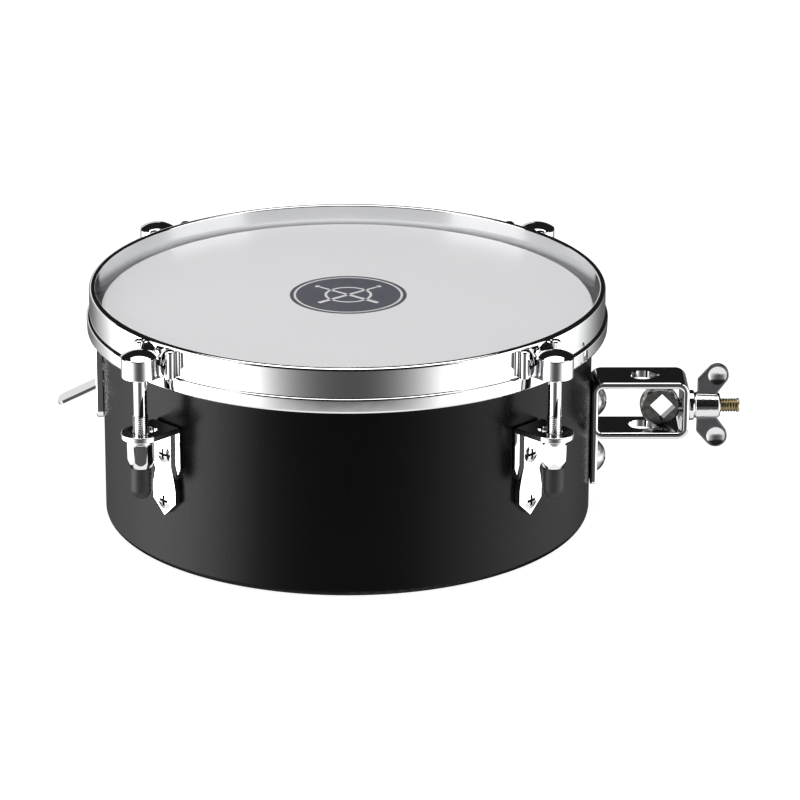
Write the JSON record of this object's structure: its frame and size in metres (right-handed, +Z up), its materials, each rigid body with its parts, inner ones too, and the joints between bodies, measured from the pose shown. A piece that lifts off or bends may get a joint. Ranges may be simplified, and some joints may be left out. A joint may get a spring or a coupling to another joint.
{
  "type": "snare timbale drum",
  "caption": "Small single-headed steel drum with a tuned film head, lugs, a swivelling rod clamp and a snare lever.",
  "frame": {"origin": "on the drum's axis, in the plane of the shell's bottom rim", "axes": "+Z up through the playing head, +X towards the rod clamp, -Y towards the player"},
  "size_m": [0.3562, 0.27, 0.1234],
  "materials": {
    "shell_paint": "satin black powder coat",
    "head_film": "smooth white, slightly glossy film",
    "chrome": "polished chrome",
    "dark_nickel": "dark nickel plate",
    "cap_rubber": "matt black rubber",
    "zinc_steel": "zinc-plated steel"
  },
  "bodies": {
    "drum": {"shell": "shell_paint", "head_film": "head_film", "flesh_hoop": "zinc_steel", "lug_bracket_front_left": "chrome", "lug_bracket_front_right": "chrome", "lug_bracket_back_right": "chrome", "lug_bracket_back_left": "chrome", "lug_screws": "chrome", "lug_inner_washers": "zinc_steel", "lug_inner_nuts": "zinc_steel", "clamp_strap": "chrome", "clamp_screws": "chrome", "clamp_inner_nuts": "zinc_steel", "clamp_backing_plate": "zinc_steel", "lever_plate": "chrome", "lever_plate_screws": "chrome", "lever_plate_nuts": "zinc_steel", "lever_fulcrum": "zinc_steel", "lever_pin": "zinc_steel", "snare_frame_pin": "zinc_steel"},
    "counterhoop": {"hoop": "chrome", "claw_front_left": "chrome", "claw_front_right": "chrome", "claw_back_right": "chrome", "claw_back_left": "chrome", "tension_rod_front_left": "chrome", "tension_rod_front_right": "chrome", "tension_rod_back_right": "chrome", "tension_rod_back_left": "chrome"},
    "clamp_swivel": {"clamp_washer": "chrome"},
    "eye_bolt": {"eye_bolt": "dark_nickel"},
    "wing_nut": {"wing_nut": "chrome"},
    "snare_lever": {"snare_lever": "chrome"},
    "snare_frame": {"snare_frame": "zinc_steel", "snare_wires": "zinc_steel", "snare_end_plates": "zinc_steel", "snare_plate_screws": "zinc_steel"},
    "nut_front_left": {"tension_nut_front_left": "chrome", "nut_washer_front_left": "chrome", "rubber_cap_front_left": "cap_rubber"},
    "nut_front_right": {"tension_nut_front_right": "chrome", "nut_washer_front_right": "chrome", "rubber_cap_front_right": "cap_rubber"},
    "nut_back_right": {"tension_nut_back_right": "chrome", "nut_washer_back_right": "chrome", "rubber_cap_back_right": "cap_rubber"},
    "nut_back_left": {"tension_nut_back_left": "chrome", "nut_washer_back_left": "chrome", "rubber_cap_back_left": "cap_rubber"}
  },
  "joints": [
    {"name": "nut_front_left_spin", "type": "hinge", "parent": "drum", "child": "nut_front_left", "pos_m": [-0.10281, -0.10281, 0.067], "axis": [0, 0, 1], "range_deg": [-1080, 0]},
    {"name": "nut_front_right_spin", "type": "hinge", "parent": "drum", "child": "nut_front_right", "pos_m": [0.10281, -0.10281, 0.067], "axis": [0, 0, 1], "range_deg": [-1080, 0]},
    {"name": "nut_back_right_spin", "type": "hinge", "parent": "drum", "child": "nut_back_right", "pos_m": [0.10281, 0.10281, 0.067], "axis": [0, 0, 1], "range_deg": [-1080, 0]},
    {"name": "nut_back_left_spin", "type": "hinge", "parent": "drum", "child": "nut_back_left", "pos_m": [-0.10281, 0.10281, 0.067], "axis": [0, 0, 1], "range_deg": [-1080, 0]},
    {"name": "hoop_lift", "type": "slide", "parent": "drum", "child": "counterhoop", "axis": [0, 0, 1], "range_m": [0, 0.003]},
    {"name": "clamp_turn", "type": "hinge", "parent": "drum", "child": "clamp_swivel", "pos_m": [0.1797, 0, 0.0552], "axis": [1, 0, 0], "range_deg": [0, 90]},
    {"name": "wing_nut_spin", "type": "hinge", "parent": "clamp_swivel", "child": "wing_nut", "pos_m": [0.188, 0, 0.0552], "axis": [1, 0, 0], "range_deg": [0, 2550]},
    {"name": "eye_bolt_slide", "type": "slide", "parent": "clamp_swivel", "child": "eye_bolt", "axis": [1, 0, 0], "range_m": [-0.0101, 0]},
    {"name": "lever_throw", "type": "hinge", "parent": "drum", "child": "snare_lever", "pos_m": [-0.118, 0, 0.0736], "axis": [0, 1, 0], "range_deg": [0, 45]},
    {"name": "frame_swing", "type": "hinge", "parent": "drum", "child": "snare_frame", "pos_m": [0.113, 0, 0.094], "axis": [0, 1, 0], "range_deg": [-3, 0]}
  ],
  "couplings": [
    {"joint": "nut_front_left_spin", "follows": "hoop_lift", "rad_per_m": -6283.2},
    {"joint": "nut_front_right_spin", "follows": "hoop_lift", "rad_per_m": -6283.2},
    {"joint": "nut_back_right_spin", "follows": "hoop_lift", "rad_per_m": -6283.2},
    {"joint": "nut_back_left_spin", "follows": "hoop_lift", "rad_per_m": -6283.2},
    {"joint": "eye_bolt_slide", "follows": "wing_nut_spin", "m_per_rad": -0.00022441},
    {"joint": "frame_swing", "follows": "lever_throw", "ratio": -0.064}
  ]
}
